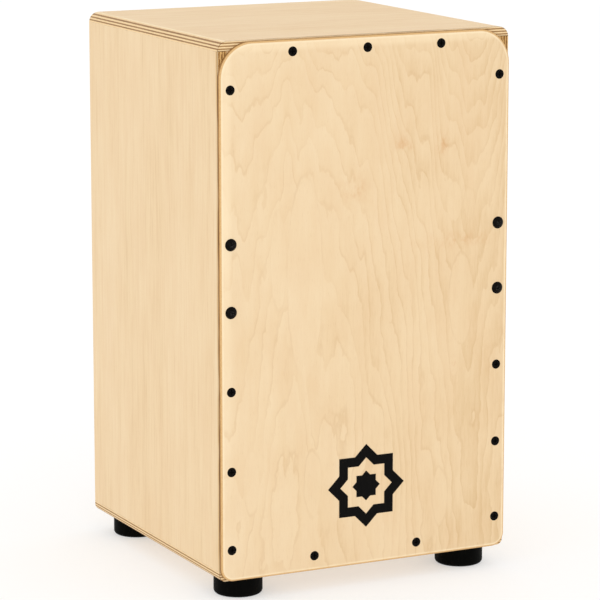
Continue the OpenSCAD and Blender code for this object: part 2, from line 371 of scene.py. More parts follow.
# Closed ovals with a ring as their outline: middle across, height above the bottom, half width, half height
FIGURE_OVALS = (
    (-64, 279, 18, 94),
    (-91, 296, 8, 46),
    (-56, 84, 9, 32),
    (-119, 92, 8, 30),
    (79, 57, 8, 28),
    (100, 246, 13, 43),
    (92, 339, 8, 19),
    (108, 336, 6, 15),
    (93, 182, 4, 10),
)
# Small warm flecks: middle across, height above the bottom, half width, half height
FIGURE_FLECKS = ((79, 394, 7, 9), (38, 394, 9, 11), (95, 302, 34, 6), (-14, 357, 13, 11), (93, 182, 3, 8))
FLECK_STRENGTH = 0.42


def rotary_figure(grain):
    """Rotary-cut veneer: zigzag rings at the upper left, upright ones on the right, fingers below."""
    g = grain.graph
    from_top = g.math("SUBTRACT", TOP_Z / MM, grain.along)
    spread = g.math("LOGARITHM", g.math("MULTIPLY_ADD", from_top, 1 / SPREAD, 1.0), math.e)
    level = g.math("MULTIPLY", spread, SPREAD / TOP_RING)

    # Rings climb towards the upright middle and fall again beyond it
    off_axis = g.math("SUBTRACT", grain.across, FIGURE_AXIS_X)
    reach = g.math("SQRT", g.math("MULTIPLY_ADD", off_axis, off_axis, AXIS_SOFT ** 2))
    climb = g.math("SMOOTH_MAX", g.math("SUBTRACT", FIGURE_HALF_W, reach), 0.0, CLIMB_SOFT)
    level = g.math("MULTIPLY_ADD", climb, -RINGS_PER_MM, level)

    level = grain.layered(level, RING_WAVES)
    zigzag = grain.centred(*ZIGZAG, detail=1, shift=27)
    zigzag = g.math("MULTIPLY", zigzag, g.step(from_top, *ZIGZAG_FADE, 1.0, ZIGZAG_LEFT))
    level = g.math("ADD", level, zigzag)
    for *spot, rings in FIGURE_SWELLS:
        level = g.math("MULTIPLY_ADD", bell(grain, *spot), rings, level)
    outlines, insides = ovals(grain)
    outside = g.math("SUBTRACT", 1.0, insides)

    share = g.math("FRACT", level)
    start, peak, end = LATE_WOOD
    late = g.math("MULTIPLY", g.band(share, start, peak, peak, end), outside)
    late = g.math("MAXIMUM", late, outlines)
    strength = g.step(grain.field(34, 60, detail=1.5, shift=51), 0.32, 0.66, 0.12, 1.0)
    ring = g.math("MULTIPLY", g.math("MULTIPLY", late, strength), ROTARY_RINGS)

    early = g.math("MULTIPLY", g.step(share, 0.0, 0.9), outside)
    # Painted shade: the plate's tone deepens from left to right
    shaded_tone = g.math("MULTIPLY_ADD", grain.across, SHADE_SLOPE, ROTARY_TONE)
    tone = g.math("MULTIPLY_ADD", early, EARLY_TONE, shaded_tone)
    return grain.layered(tone, ROTARY_STREAKS), ring


def oval_square(grain, middle_x, above_bottom, half_w, half_h):
    """Squared distance from the middle of an upright oval on the plate: 1 on the oval's outline."""
    g = grain.graph
    dx = g.math("MULTIPLY", g.math("SUBTRACT", grain.across, float(middle_x)), 1 / half_w)
    dz = g.math("MULTIPLY", g.math("SUBTRACT", grain.along, BASE_Z / MM + above_bottom), 1 / half_h)
    return g.math("MULTIPLY_ADD", dx, dx, g.math("MULTIPLY", dz, dz))


def bell(grain, *oval):
    """A soft oval spot on the plate: 1 in its middle and 0 far outside."""
    g = grain.graph
    return g.math("EXPONENT", g.math("MULTIPLY", oval_square(grain, *oval), -1.0))


def ovals(grain):
    """The outlines and the insides of the closed ovals, each as 0 to 1."""
    g = grain.graph
    waver = grain.centred(3.0, 5, 16, detail=2, shift=37)
    outlines = insides = 0.0
    for oval in FIGURE_OVALS:
        half_w = float(oval[2])
        reach = g.math("SQRT", oval_square(grain, *oval))
        distance = g.math("ADD", g.math("MULTIPLY_ADD", reach, half_w, -half_w), waver)
        outlines = g.math("MAXIMUM", g.step(g.math("ABSOLUTE", distance), 0.1, 0.9, 1.0, 0.0), outlines)
        insides = g.math("MAXIMUM", g.step(distance, -0.6, 0.6, 1.0, 0.0), insides)
    return outlines, insides


def flecks(grain):
    """Warm flecks in the plate's veneer, broken up along the grain."""
    g = grain.graph
    total = bell(grain, *FIGURE_FLECKS[0])
    for spot in FIGURE_FLECKS[1:]:
        total = g.math("ADD", total, bell(grain, *spot))
    broken = g.step(grain.field(7, 12, detail=3, roughness=0.6, shift=61), 0.38, 0.72)
    return g.math("MULTIPLY", g.math("MULTIPLY", total, broken), FLECK_STRENGTH)


# The plate's painted highlight along its rim: how strong, and where it is full and gone, in millimetres from
# the rim
LEFT_HIGHLIGHT = (0.5, 7, 14)
RIGHT_HIGHLIGHT = (0.4, 2, 4)
TOP_HIGHLIGHT = (0.4, 6, 12)
# The left highlight fades between these heights above the bottom, to this share
LEFT_HIGHLIGHT_FADE = (60, 330)
LEFT_HIGHLIGHT_LEAST = 0.15


def plate_rim_highlight(grain):
    """A painted highlight: the plate's face is paler along its rim, as if lit from the left, widest at the
    upper left.
    """
    g = grain.graph

    def highlight_strip(distance, amount, full, gone):
        return g.step(distance, full, gone, amount, 0.0)

    left = highlight_strip(g.math("ADD", grain.across, HALF_W / MM), *LEFT_HIGHLIGHT)
    above_bottom = g.math("SUBTRACT", grain.along, BASE_Z / MM)
    left = g.math("MULTIPLY", left, g.step(above_bottom, *LEFT_HIGHLIGHT_FADE, LEFT_HIGHLIGHT_LEAST, 1.0))
    right = highlight_strip(g.math("SUBTRACT", HALF_W / MM, grain.across), *RIGHT_HIGHLIGHT)
    top = highlight_strip(g.math("SUBTRACT", plate_high.z / MM, grain.along), *TOP_HIGHLIGHT)
    return g.math("MAXIMUM", g.math("MAXIMUM", left, right), top)


# Plywood edges, in shares of a ply: where pale wood turns into cross ply, and how a glue line fades out
PLY_TURN = (0.46, 0.70)
GLUE_LINE = (0.02, 0.13)
GLUE_STRENGTH = 0.35


def ply_edge(grain, below, thickness, plies, look, wander):
    """Colour of a sawn plywood edge: pale plies between brown cross plies, parted by thin glue lines."""
    g = grain.graph
    waved = g.math("ADD", below, grain.centred(2 * wander, 3.2, 5, 3.2, detail=2.5, roughness=0.6, shift=3))
    ply = g.math("DIVIDE", waved, thickness / plies)
    parity = g.math("PINGPONG", g.math("SUBTRACT", ply, 0.5), 1.0)
    fibre = g.step(grain.field(0.6, 1.6, 0.6, detail=2, roughness=0.7, shift=17), 0.3, 0.72)
    blotch = g.step(grain.field(14, 14, 14, detail=2, shift=71), 0.35, 0.7)
    pale = g.mix(fibre, look[0], look[1])
    cross = g.mix(g.math("MULTIPLY", g.math("ADD", fibre, blotch), 0.5), look[2], look[3])
    colour = g.mix(g.step(parity, *PLY_TURN), pale, cross)
    seam = g.step(g.math("ABSOLUTE", g.math("SUBTRACT", parity, 0.5)), *GLUE_LINE, 1.0, 0.0)
    return g.mix(g.math("MULTIPLY", seam, GLUE_STRENGTH), colour, GLUE)


# How far pores and warm patches change the face colour
PORE_STRENGTH = 0.16
WARMTH = 0.07


def face_colour(grain, figure, tone, ring, pores, tint):
    """Colour of the face veneer: its figure, pores and warm patches, then the panel's tint, which on the seat
    and sides is painted light and shade.
    """
    g = grain.graph
    colour = g.ramp(tone, [(0.0, FACE_PALE), (0.45, FACE_BASE), (1.0, FACE_DEEP)])
    colour = g.mix(ring, colour, RING_TINT)
    colour = g.mix(g.math("MULTIPLY", pores, PORE_STRENGTH), colour, RING_TINT)
    if figure is rotary_figure:
        colour = g.mix(flecks(grain), colour, FLECK_TINT)
        # Painted highlight along the plate's rim
        colour = g.mix(plate_rim_highlight(grain), colour, PALE_WEAR_AND_HIGHLIGHT)
    warmth = g.step(grain.field(26, 70, detail=2, shift=111), 0.35, 0.7, 0.0, WARMTH)
    colour = g.mix(warmth, colour, FLECK_TINT)
    return g.mix(1.0, colour, tint, "MULTIPLY")


# Millimetres: the pale arris, partly wear and partly painted highlight, starts below the outer face, the
# plies end before the inner face, and the stain of a joint starts beside it
ARRIS_START = (0.01, 0.10)
INNER_FACE = (0.30, 0.05)
STAIN_START = (0.02, 0.10)


def wood(
    name, axes, outer, inward, thickness, plies, seed, figure,
    joints=(), look=PANEL_EDGE, wander=0.25, veneer_t=0.65, tint=(1.0, 1.0, 1.0, 1.0),
):
    """Lacquered birch plywood: veneer on both faces, plies on its edges, stains at its glue joints, where the
    dark lines beside the plate are partly painted shade of the gap.

    The three axes run across and along the face grain and through the thickness. The outer face is at outer,
    and inward is the way from it into the wood. A joint is (axis, place, width of its stain in millimetres,
    strength, colour).
    """
    g = Graph(name)
    grain = Grain(g, axes, seed)
    tone, ring = figure(grain)
    pores = grain.pores()
    colour = face_colour(grain, figure, tone, ring, pores, tint)

    thick = thickness / MM
    below = g.math("MULTIPLY", g.math("SUBTRACT", grain.depth, outer / MM), float(inward))
    inner_start, inner_end = (thick - distance for distance in INNER_FACE)
    on_edge = g.band(below, 0.7 * veneer_t, 1.3 * veneer_t, inner_start, inner_end)
    colour = g.mix(on_edge, colour, ply_edge(grain, below, thick, plies, look, wander))

    # The arris between face and edge is paler: partly wear, partly a painted highlight on its rounding
    arris_wear_and_highlight = g.band(below, *ARRIS_START, 0.5 * veneer_t, veneer_t)
    highlight_patches = g.step(grain.field(9, 9, 9, detail=2, shift=91), 0.25, 0.6, 0.30, 0.75)
    colour = g.mix(g.math("MULTIPLY", arris_wear_and_highlight, highlight_patches), colour, PALE_WEAR_AND_HIGHLIGHT)

    # Patchy joint stains: glue, and beside the plate also painted shade of the gap
    glue_and_shade_patches = g.step(grain.field(6, 45, 6, detail=2, shift=97), 0.3, 0.66)
    for axis, joint_at, width, strength, stain in joints:
        near = g.math("ABSOLUTE", g.math("SUBTRACT", grain.axes[axis], joint_at / MM))
        line = g.band(near, *STAIN_START, 0.35 * width, width)
        patchy = g.math("MULTIPLY_ADD", glue_and_shade_patches, 0.5, strength - 0.5)
        colour = g.mix(g.math("MULTIPLY", line, patchy), colour, stain)

    g.link(colour, g.shader.inputs["Base Color"])
    g.link(g.step(tone, 0.0, 1.0, 0.44, 0.58), g.shader.inputs["Roughness"])
    g.shader.inputs["Specular IOR Level"].default_value = 0.16
    g.shader.inputs["Coat Weight"].default_value = 0.02
    g.shader.inputs["Coat Roughness"].default_value = 0.3
    relief = g.math("MULTIPLY_ADD", pores, -0.8, g.math("MULTIPLY", tone, -0.5))
    g.bump(g.math("SUBTRACT", relief, ring), 0.10, 0.10 * MM)
    return g.material


# Sawn wood's noise per millimetre along x, y and z, the rings in it and the shape of each ring
RING_NOISE = (0.09, 0.09, 0.004)
FIBRE_NOISE = (1.3, 1.3, 0.03)
SAWN_RINGS = 14.0
SAWN_LATE_WOOD = (0.3, 0.92, 1.0)


def sawn_wood(name, tint_light, tint_dark, seed):
    """Unlacquered sawn wood: wide soft rings, fine fibres and a rough surface."""
    g = Graph(name)
    place = g.combine(*g.position_mm())
    moved = g.vector_math("ADD", g.vector_math("MULTIPLY", place, RING_NOISE), (seed, seed * 2.0, 0.0))
    level = g.math("FRACT", g.math("MULTIPLY", g.noise(moved, 1.5), SAWN_RINGS))
    start, peak, end = SAWN_LATE_WOOD
    late = g.band(level, start, peak, peak, end)
    fibre = g.noise(g.vector_math("MULTIPLY", place, FIBRE_NOISE), 3)
    tone = g.math("MULTIPLY_ADD", fibre, 0.45, g.math("MULTIPLY", late, 0.5))
    colour = g.ramp(tone, [(0.1, tint_light), (0.85, tint_dark)])
    g.link(colour, g.shader.inputs["Base Color"])
    g.link(g.step(fibre, 0.2, 0.8, 0.62, 0.8), g.shader.inputs["Roughness"])
    g.bump(fibre, 0.3, 0.2 * MM)
    return g.material


# ---------------------------------------------------------------- other materials
CROWN_HIGHLIGHT_GREY = srgb(62, 60, 58)
# A domed head's crown has a painted highlight inside the first radius, and none beyond the second, in
# millimetres
CROWN_HIGHLIGHT_REACH = (0.8, 3.2)


def black_steel(name):
    """Phosphated screw steel: near black, with lighter rub marks, and a painted highlight on the crowns of
    the domed heads.
    """
    g = Graph(name)
    x, y, z = g.position_mm()
    place = g.combine(x, y, z)
    rub = g.noise(place, 3, 0.6, 1.4)
    colour = g.ramp(rub, [(0.35, srgb(5, 3, 2)), (0.8, srgb(15, 12, 9))])

    # The four domed heads mirror each other across the plate and across their own middle height
    low_head, high_head = (height / MM for _, height in DOMED_POINTS[:2])
    middle = (low_head + high_head) / 2
    off_x = g.math("SUBTRACT", g.math("ABSOLUTE", x), SIDE_ROW_X / MM)
    off_z = g.math("SUBTRACT", g.math("ABSOLUTE", g.math("SUBTRACT", z, middle)), high_head - middle)
    from_crown = g.math("SQRT", g.math("MULTIPLY_ADD", off_x, off_x, g.math("MULTIPLY", off_z, off_z)))
    patches = g.step(g.noise(place, 2, 0.5, 0.9), 0.42, 0.6)
    # Painted highlight: a paler, patchy spot on each domed head's crown
    highlight_patches = g.math("MULTIPLY", g.step(from_crown, *CROWN_HIGHLIGHT_REACH, 1.0, 0.0), patches)
    colour = g.mix(g.math("MULTIPLY", highlight_patches, 0.8), colour, CROWN_HIGHLIGHT_GREY)
    g.link(colour, g.shader.inputs["Base Color"])
    g.link(g.step(rub, 0.3, 0.8, 0.26, 0.42), g.shader.inputs["Roughness"])
    g.shader.inputs["Specular IOR Level"].default_value = 0.06
    g.bump(g.noise(place, 3, 0.7, 6.0), 0.15, 0.03 * MM)
    return g.material


def bright_metal(name, light, dark, rough, scale):
    """Plated or drawn metal with fine variation of colour and gloss."""
    g = Graph(name)
    place = g.combine(*g.position_mm())
    cloud = g.noise(place, 3, 0.6, scale)
    g.link(g.ramp(cloud, [(0.3, dark), (0.7, light)]), g.shader.inputs["Base Color"])
    g.link(g.step(cloud, 0.2, 0.8, rough - 0.07, rough + 0.09), g.shader.inputs["Roughness"])
    g.shader.inputs["Metallic"].default_value = 1.0
    g.bump(g.noise(place, 2, 0.6, scale * 8), 0.12, 0.02 * MM)
    return g.material


def rubber(name):
    """Moulded black rubber: matt, with a fine pitted skin and a little dust near the floor."""
    g = Graph(name)
    x, y, z = g.position_mm()
    place = g.combine(x, y, z)
    pits = g.noise(place, 3, 0.65, 2.2)
    dust = g.noise(place, 4, 0.6, 0.12)
    tone = g.math("ADD", g.math("MULTIPLY", dust, 0.6), g.step(z, 0.0, 4.0, 0.4, 0.0))
    g.link(g.ramp(tone, [(0.2, srgb(3, 3, 2)), (0.9, srgb(11, 10, 8))]), g.shader.inputs["Base Color"])
    g.link(g.step(pits, 0.3, 0.7, 0.50, 0.66), g.shader.inputs["Roughness"])
    g.shader.inputs["Specular IOR Level"].default_value = 0.035
    g.bump(pits, 0.25, 0.06 * MM)
    return g.material


def ink(name):
    """Screen-printed black ink that lets a little of the grain through."""
    g = Graph(name)
    x, y, z = g.position_mm()
    grain = g.noise(g.combine(x, g.math("MULTIPLY", z, 0.03), y), 3, 0.6, 1.1)
    g.link(g.ramp(grain, [(0.3, srgb(8, 7, 6)), (0.85, srgb(18, 16, 15))]), g.shader.inputs["Base Color"])
    g.link(g.step(grain, 0.3, 0.8, 0.42, 0.58), g.shader.inputs["Roughness"])
    g.shader.inputs["Specular IOR Level"].default_value = 0.05
    g.bump(grain, 0.2, 0.04 * MM)
    return g.material


# ---------------------------------------------------------------- mesh building
def arc(centre_a, centre_b, radius, start, end):
    """Points of an arc, both ends included."""
    count = max(2, round(abs(end - start) / ARC_STEP))
    return [
        (
            centre_a + radius * math.cos(start + (end - start) * i / count),
            centre_b + radius * math.sin(start + (end - start) * i / count),
        )
        for i in range(count + 1)
    ]


def rounded_rect(low_a, high_a, low_b, high_b, low_r, high_r):
    """A rectangle with rounded corners, anticlockwise from its lower left corner."""
    quarter = math.pi / 2
    return (
        arc(low_a + low_r, low_b + low_r, low_r, 2 * quarter, 3 * quarter)
        + arc(high_a - low_r, low_b + low_r, low_r, 3 * quarter, 4 * quarter)
        + arc(high_a - high_r, high_b - high_r, high_r, 0, quarter)
        + arc(low_a + high_r, high_b - high_r, high_r, quarter, 2 * quarter)
    )


def inset(points, distance):
    """The outline moved inwards, corner by corner, so that every side moves by the distance."""
    moved = []
    for i, here in enumerate(points):
        before = Vector(here) - Vector(points[i - 1])
        after = Vector(points[(i + 1) % len(points)]) - Vector(here)
        normal_in = Vector((-before.y, before.x)).normalized() + Vector((-after.y, after.x)).normalized()
        moved.append(Vector(here) + normal_in * (distance / (normal_in.length_squared / 2)))
    return moved


def along_y(a, b, y):
    """A point of an outline seen from the front, at a place across the depth."""
    return a, y, b


def along_z(a, b, z):
    """A point of an outline seen from above, at a height."""
    return a, b, z


def pillow_rings(outline, start, ease, steps=4):
    """Rings of a face that sinks a little before its rim begins."""
    rings = []
    for k in range(steps):
        share = k / steps
        rings.append((inset(outline, ease + PILLOW_W * (1 - share)), start + PILLOW_DROP * share ** 2))
    return rings


def eased_rings(outline, start, end, ease_start, ease_end, steps=5):
    """Rings from one end of a bar to the other, with a quarter round at each rim."""
    rings = []
    for ease, at, way in ((ease_start, start, 1), (ease_end, end, -1)):
        part = []
        for k in range(steps + 1):
            angle = math.pi / 2 * k / steps
            ring = inset(outline, ease * (1 - math.sin(angle)))
            part.append((ring, at + way * ease * (1 - math.cos(angle))))
        rings += part if way > 0 else part[::-1]
    return rings


def finish_mesh(name, mesh, material, sharp=35):
    """Turns a bmesh into a smooth-shaded piece that rides on the one body."""
    bmesh.ops.remove_doubles(mesh, verts=mesh.verts, dist=1e-7)
    bmesh.ops.recalc_face_normals(mesh, faces=mesh.faces)
    data = bpy.data.meshes.new(name)
    mesh.to_mesh(data)
    mesh.free()
    data.polygons.foreach_set("use_smooth", [True] * len(data.polygons))
    data.set_sharp_from_angle(angle=math.radians(sharp))
    data.materials.append(material)
    piece = bpy.data.objects.new(name, data)
    bpy.context.scene.collection.objects.link(piece)
    weighted = piece.modifiers.new("even_shading", "WEIGHTED_NORMAL")
    weighted.keep_sharp = True
    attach(piece, BODY)
    return piece


def stand_for(piece, node):
    """Hides the CAD node that a piece takes the place of."""
    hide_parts(node)


def skin(mesh, lower, upper):
    """Quads between two vertex loops of the same length."""
    for i in range(len(lower)):
        j = (i + 1) % len(lower)
        mesh.faces.new((lower[i], lower[j], upper[j], upper[i]))


def rim_edges(mesh, loop):
    """The edges round a vertex loop."""
    return [mesh.edges.get((loop[i - 1], loop[i])) for i in range(len(loop))]


def loops_of(mesh, rings, place):
    """Vertex loops of (outline, place along the axis) rings, joined by quads."""
    loops = [[mesh.verts.new(place(a, b, t)) for a, b in ring] for ring, t in rings]
    for lower, upper in zip(loops, loops[1:]):
        skin(mesh, lower, upper)
    return loops


def bar(name, material, outline, start, end, ease_start, ease_end):
    """A solid with one outline from front to back and eased rims."""
    mesh = bmesh.new()
    loops = loops_of(mesh, eased_rings(outline, start, end, ease_start, ease_end), along_y)
    mesh.faces.new(loops[0][::-1])
    mesh.faces.new(loops[-1])
    return finish_mesh(name, mesh, material)


def pierced_bar(name, material, outline, holes, start, end, ease_start, ease_end, pillow=False):
    """A bar with holes right through it. Each hole is a list of (outline, y) rings."""
    mesh = bmesh.new()
    rings = eased_rings(outline, start + (PILLOW_DROP if pillow else 0), end, ease_start, ease_end)
    if pillow:
        rings = pillow_rings(outline, start, ease_start) + rings
    outer = loops_of(mesh, rings, along_y)
    inner = [loops_of(mesh, [(ring[::-1], y) for ring, y in hole], along_y) for hole in holes]
    for row in (0, -1):
        rim = []
        for loops in [outer] + inner:
            rim += rim_edges(mesh, loops[row])
        bmesh.ops.triangle_fill(mesh, edges=rim, use_beauty=True)
    return finish_mesh(name, mesh, material)


def circle(centre_a, centre_b, radius, segments=48):
    """Points of a full circle."""
    return [
        (
            centre_a + radius * math.cos(2 * math.pi * i / segments),
            centre_b + radius * math.sin(2 * math.pi * i / segments),
        )
        for i in range(segments)
    ]


def eased_hole(centre_a, centre_b, radius, start, end, ease, steps=4, segments=96):
    """Rings of a round hole whose two rims are eased outwards."""
    rings = []
    for at, way in ((start, 1), (end, -1)):
        part = []
        for k in range(steps + 1):
            angle = math.pi / 2 * k / steps
            wide = radius + ease * (1 - math.sin(angle))
            ring = circle(centre_a, centre_b, wide, segments)
            part.append((ring, at + way * ease * (1 - math.cos(angle))))
        rings += part if way > 0 else part[::-1]
    return rings


def lathe(name, material, profile, centre, segments=72):
    """A turned piece. The profile is a closed list of (radius, height) from the frame's floor."""
    mesh = bmesh.new()
    rings = [(circle(*centre, radius, segments), height) for radius, height in profile]
    loops = loops_of(mesh, rings, along_z)
    skin(mesh, loops[-1], loops[0])
    return finish_mesh(name, mesh, material)


# ---------------------------------------------------------------- materials of the pieces
# Painted light and shade: the seat is a little darker and warmer, and the sides a little paler, to offset how
# the top and the sides are lit
SEAT_SHADE_TINT = (1.0, 0.985, 0.95, 1.0)
SIDE_LIGHT_TINT = (1.02, 1.02, 1.01, 1.0)
# The dark lines where the box meets the plate are partly glue and partly painted shade of the gap between
# them
front_glue_and_shade = ("y", FRAME_Y, 1.2, 1.0, GLUE)
plate_glue_and_shade = ("y", FRAME_Y, 2.3, 1.0, GLUE)
soaked_joint = ("y", FRAME_Y, 4.5, 0.75, SOAKED_GLUE)
seat_joint = ("z", top_low.z, 0.7, 0.25, GLUE)
bottom_joint = ("z", bottom_high.z, 0.7, 0.35, GLUE)
side_joints = (soaked_joint, front_glue_and_shade, seat_joint, bottom_joint)
plate_wood = wood(
    "birch_plate", "xzy", FRONT_Y, 1, PLATE_T, PLATE_PLY_COUNT, 1.7, rotary_figure,
    joints=(plate_glue_and_shade,), look=PLATE_EDGE, veneer_t=0.2,
)
seat_wood = wood(
    "birch_seat", "yxz", TOP_Z, -1, PANEL_T, PLY_COUNT, 4.2, straight_figure,
    joints=(front_glue_and_shade,), tint=SEAT_SHADE_TINT,
)
bottom_wood = wood(
    "birch_bottom", "yxz", BASE_Z, 1, PANEL_T, PLY_COUNT, 5.6, straight_figure, joints=(front_glue_and_shade,)
)
left_wood, right_wood = (
    wood(
        name, "yzx", outer, inward, PANEL_T, PLY_COUNT, seed, straight_figure,
        joints=side_joints, look=SIDE_EDGE, wander=1.5, tint=SIDE_LIGHT_TINT,
    )
    for name, outer, inward, seed in (("birch_left", -HALF_W, 1, 2.9), ("birch_right", HALF_W, -1, 8.4))
)
rear_wood = wood("birch_rear", "xzy", rear_high.y, -1, REAR_T, PLATE_PLY_COUNT, 6.3, straight_figure)
pine = sawn_wood("pine", srgb(226, 190, 140), srgb(186, 140, 88), 3.0)
rail_wood = sawn_wood("birch_rail", srgb(224, 194, 150), srgb(196, 160, 112), 9.0)
screw_black = black_steel("black_screw")
zinc = bright_metal("zinc_screw", srgb(196, 197, 200), srgb(160, 162, 168), 0.30, 0.8)
wire_steel = bright_metal("snare_steel", srgb(200, 201, 204), srgb(168, 170, 175), 0.24, 2.0)
brass = bright_metal("snare_brass", srgb(206, 172, 104), srgb(176, 140, 76), 0.30, 0.5)
foot_rubber = rubber("foot_rubber")
emblem_ink = ink("emblem_ink")


# ---------------------------------------------------------------- the box
def seat_outline():
    """The top panel's outline, anticlockwise seen from the front. Its round edges run on past the joint."""
    drop = EDGE_R - PANEL_T
    corner = (HALF_W - EDGE_R + math.sqrt(EDGE_R ** 2 - drop ** 2), top_low.z)
    round_edge = arc(HALF_W - EDGE_R, TOP_Z - EDGE_R, EDGE_R, 0, math.pi / 2)
    right = [corner] + [point for point in round_edge if point[1] > top_low.z]
    return right + [(-a, b) for a, b in reversed(right)]


def bottom_outline():
    """The bottom panel's outline, anticlockwise seen from the front."""
    right = arc(HALF_W - LOW_EDGE_R, BASE_Z + LOW_EDGE_R, LOW_EDGE_R, -math.pi / 2, 0)
    right.append((HALF_W, bottom_high.z))
    return right + [(-a, b) for a, b in reversed(right)]


def box_outline(low, high):
    """The outline of a plain box, anticlockwise seen from the front."""
    return [(low.x, low.z), (high.x, low.z), (high.x, high.z), (low.x, high.z)]


# How far the rims of the panels, the rear panel, its sound hole and the plate's back are eased
FRONT_EASE = 0.5 * MM
REAR_EASE = 1.2 * MM
REAR_PANEL_EASE = 0.4 * MM
SOUND_HOLE_EASE = 0.8 * MM
PLATE_BACK_EASE = 0.2 * MM


def make_panels():
    """Seat, bottom, sides and rear panel."""
    for name, node, material, outline in (
        ("seat", "top_panel", seat_wood, seat_outline()),
        ("bottom", "bottom_panel", bottom_wood, bottom_outline()),
    ):
        panel = bar(name, material, outline, FRAME_Y, REAR_Y, FRONT_EASE, REAR_EASE)
        stand_for(panel, node)
    for name, material in (("left_side", left_wood), ("right_side", right_wood)):
        low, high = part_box(f"{name}_panel")
        side = bar(name, material, box_outline(low, high), low.y, high.y, FRONT_EASE, REAR_EASE)
        stand_for(side, f"{name}_panel")
    hole = eased_hole(0, HOLE_Z, HOLE_R, rear_low.y, rear_high.y, SOUND_HOLE_EASE)
    rear = pierced_bar(
        "rear", rear_wood, box_outline(rear_low, rear_high), [hole],
        rear_low.y, rear_high.y, REAR_PANEL_EASE, REAR_PANEL_EASE,
    )
    stand_for(rear, "rear_panel")


def make_plate():
    """The striking plate, with a rounded front rim all round and a hole for each screw."""
    outline = rounded_rect(-HALF_W, HALF_W, plate_low.z, plate_high.z, PLATE_LOW_R, PLATE_TOP_R)
    bore_r = SHANK_R + HOLE_AIR
    holes = []
    for x, z in FLUSH_POINTS:
        wide = circle(x, z, FLUSH_HEAD_R + HOLE_AIR)
        narrow = circle(x, z, bore_r)
        holes.append([(wide, FRONT_Y), (narrow, FRONT_Y + CONE_H), (narrow, FRAME_Y)])
    for x, z in DOMED_POINTS:
        bore = circle(x, z, bore_r)
        holes.append([(bore, FRONT_Y), (bore, FRAME_Y)])
    plate = pierced_bar(
        "striking_plate", plate_wood, outline, holes,
        FRONT_Y, FRAME_Y, PLATE_ROUND, PLATE_BACK_EASE, pillow=True,
    )
    stand_for(plate, "front_plate")


# ---------------------------------------------------------------- screws of the plate
SCREW_L = 20 * MM
TIP_L = 3 * MM
TIP_R = SHANK_R / 4
DOME_H = FRONT_Y - cad_low.y
# A head's middle, inside this radius, holds the recess, and its rim is rounded off by this much
CAP_R = 3.1 * MM
HEAD_RIM = 0.12 * MM
# The cross recess: half the width of its arms, their reach in each kind of head, its depth and its taper
RECESS_HALF = 0.5 * MM
FLUSH_RECESS = 2.7 * MM
DOMED_RECESS = 2.8 * MM
RECESS_DEPTH = 1.3 * MM
RECESS_TAPER = 0.55


def cross_outline(reach):
    """A cross with rounded arms, anticlockwise."""
    steps = 6
    arm = []
    for i in range(steps + 1):
        angle = math.pi * (i / steps - 0.5)
        arm.append((reach - RECESS_HALF + RECESS_HALF * math.cos(angle), RECESS_HALF * math.sin(angle)))
    arm.append((RECESS_HALF, RECESS_HALF))
    points = []
    for quarter in range(4):
        cosine = math.cos(quarter * math.pi / 2)
        sine = math.sin(quarter * math.pi / 2)
        points += [(a * cosine - b * sine, a * sine + b * cosine) for a, b in arm]
    return points


def add_screw(mesh, centre, head, height, recess):
    """One screw along Y. The head is a list of (radius, y); height gives the y of its cap at a radius."""
    cx, cz = centre
    end_y = FRONT_Y + SCREW_L
    profile = head + [(SHANK_R, head[-1][1]), (SHANK_R, end_y - TIP_L), (TIP_R, end_y)]
    shell = loops_of(mesh, [(circle(cx, cz, radius), y) for radius, y in profile], along_y)
    mesh.faces.new(shell[-1])
    cross = cross_outline(recess)
    top = [mesh.verts.new((cx + a, height(math.hypot(a, b)), cz + b)) for a, b in cross]
    floor_y = height(0) + RECESS_DEPTH
    floor = [mesh.verts.new((cx + a * RECESS_TAPER, floor_y, cz + b * RECESS_TAPER)) for a, b in cross]
    skin(mesh, top, floor)
    mesh.faces.new(floor)
    rim = rim_edges(mesh, shell[0]) + rim_edges(mesh, top)
    bmesh.ops.triangle_fill(mesh, edges=rim, use_beauty=True)


def flat_y(radius):
    """Place of a flush head's surface across the depth, the same at every radius."""
    return FRONT_Y


def dome_y(radius):
    """Place of a domed head's surface across the depth."""
    ball_r = (DOME_HEAD_R ** 2 + DOME_H ** 2) / (2 * DOME_H)
    return FRONT_Y - DOME_H + ball_r - math.sqrt(ball_r ** 2 - radius ** 2)


def make_plate_screws():
    """Thirteen flush screws and four domed ones, each kind in one piece."""
    flush_head = [(CAP_R, FRONT_Y), (FLUSH_HEAD_R - HEAD_RIM, FRONT_Y), (FLUSH_HEAD_R, FRONT_Y + HEAD_RIM)]
    flush_head.append((SHANK_R + HEAD_RIM, FRONT_Y + CONE_H))
    steps = 8
    radii = [CAP_R + (DOME_HEAD_R - HEAD_RIM - CAP_R) * i / steps for i in range(steps + 1)]
    domed_head = [(radius, dome_y(radius)) for radius in radii]
    domed_head += [(DOME_HEAD_R, FRONT_Y - HEAD_RIM), (DOME_HEAD_R, FRONT_Y)]
    for name, points, head, height, recess in (
        ("flush_screws", FLUSH_POINTS, flush_head, flat_y, FLUSH_RECESS),
        ("domed_screws", DOMED_POINTS, domed_head, dome_y, DOMED_RECESS),
    ):
        mesh = bmesh.new()
        for centre in points:
            add_screw(mesh, centre, head, height, recess)
        stand_for(finish_mesh(name, mesh, screw_black), f"plate_{name}")


# ---------------------------------------------------------------- feet
FOOT_RIM_R = 3.5 * MM
FOOT_POCKET_R = 7.5 * MM
FOOT_BORE_R = 2.6 * MM
FOOT_SOFT = 0.6 * MM


